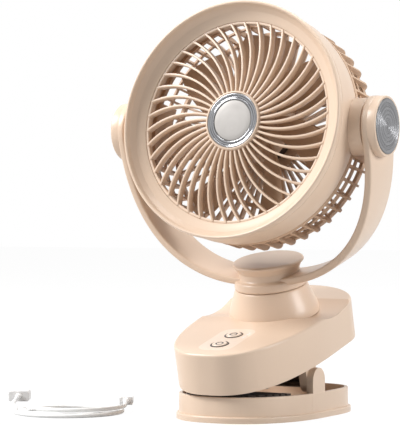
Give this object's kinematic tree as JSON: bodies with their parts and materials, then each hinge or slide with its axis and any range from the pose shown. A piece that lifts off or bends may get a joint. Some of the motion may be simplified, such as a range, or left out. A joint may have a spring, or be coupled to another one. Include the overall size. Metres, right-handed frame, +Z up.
{
  "type": "portable camping fan",
  "caption": "Round fan head tilting in a U yoke on a swivelling neck, over a sprung clamp base with a battery housing, push buttons and a charging lead.",
  "frame": {"origin": "middle of the underside of the lower jaw, on the surface that the fan stands on", "axes": "+Z up, -Y forward (the side with the buttons), +X to the right seen from the front"},
  "size_m": [0.333, 0.1915, 0.295],
  "materials": {
    "cream_plastic": "satin",
    "dark_rubber": "matt",
    "steel": "brushed",
    "chrome": "polished",
    "silver_disc": "satin",
    "motor_paint": "satin",
    "copper_wire": "enamelled",
    "cell_wrap": "shrink film",
    "circuit_board": "lacquered",
    "dark_plastic": "glossy",
    "light_lens": "clear",
    "white_plastic": "satin",
    "white_cord": "satin",
    "nylon": "matt"
  },
  "bodies": {
    "base": {"lower_jaw_tray": "cream_plastic", "lower_grip_plate": "cream_plastic", "lower_grip_pad": "dark_rubber", "foot_pad": "dark_rubber", "hinge_pin": "steel", "spring_spool": "nylon", "clamp_spring": "steel", "usb_a_plug_body": "white_plastic", "usb_a_plug_shell": "steel", "usb_a_plug_strain_relief": "white_plastic", "usb_c_plug_body": "white_plastic", "usb_c_plug_shell": "steel", "usb_c_plug_strain_relief": "white_plastic", "cord_lead_a": "white_cord", "cord_coil": "white_cord", "cord_lead_b": "white_cord"},
    "housing": {"housing_shell": "cream_plastic", "housing_cover": "cream_plastic", "cover_screws": "steel", "upper_grip_pad": "dark_rubber", "control_panel": "cream_plastic", "button_trims": "dark_plastic", "battery_lights": "light_lens", "control_board": "circuit_board", "board_standoffs": "nylon", "button_switches": "dark_plastic", "battery_cells": "cell_wrap", "battery_cradle": "nylon", "charging_board": "circuit_board", "usb_c_socket": "steel", "neck_collar": "cream_plastic", "swivel_spindle": "steel", "spindle_nut": "steel"},
    "speed_button": {"speed_button": "cream_plastic"},
    "mode_button": {"mode_button": "cream_plastic"},
    "yoke": {"yoke_band": "cream_plastic", "neck_sleeve": "cream_plastic", "neck_flange_cap": "cream_plastic", "pivot_cap_right": "cream_plastic", "pivot_cap_left": "cream_plastic", "pivot_disc_right": "chrome", "pivot_disc_left": "chrome", "pivot_bolts": "steel", "friction_washers": "nylon"},
    "head": {"front_bezel": "cream_plastic", "front_grille": "cream_plastic", "hub_chrome_ring": "chrome", "hub_centre_disc": "silver_disc", "rear_cage": "cream_plastic", "pivot_boss_right": "cream_plastic", "pivot_boss_left": "cream_plastic", "motor_can": "motor_paint", "motor_winding": "copper_wire", "motor_bearings": "steel", "motor_screws": "steel"},
    "impeller": {"impeller": "cream_plastic", "motor_rotor": "steel", "motor_shaft": "steel", "impeller_nut": "steel"}
  },
  "joints": [
    {"name": "clamp", "type": "hinge", "parent": "base", "child": "housing", "pos_m": [0, -0.004, 0.026], "axis": [-1, 0, 0], "range_deg": [0, 25], "stiffness_Nm_per_rad": 0.6, "springref_deg": -68.75, "deforming": ["clamp_spring"]},
    {"name": "swivel", "type": "hinge", "parent": "housing", "child": "yoke", "pos_m": [0, 0.0211, 0.0749], "axis": [0, -0.2538, 0.9673], "range_deg": [-170, 170]},
    {"name": "tilt", "type": "hinge", "parent": "yoke", "child": "head", "pos_m": [0, -0.0129, 0.20451], "axis": [-1, 0, 0], "range_deg": [-115.2, 64.8]},
    {"name": "impeller_spin", "type": "hinge", "parent": "head", "child": "impeller", "pos_m": [0, -0.0129, 0.20451], "axis": [0, -0.9833, 0.1822], "continuous": true},
    {"name": "speed_button_press", "type": "slide", "parent": "housing", "child": "speed_button", "axis": [0, 0.2538, -0.9673], "range_m": [0, 0.0008], "stiffness_N_per_m": 1500, "springref_m": -0.0003},
    {"name": "mode_button_press", "type": "slide", "parent": "housing", "child": "mode_button", "axis": [0, 0.2538, -0.9673], "range_m": [0, 0.0008], "stiffness_N_per_m": 1500, "springref_m": -0.0003}
  ]
}
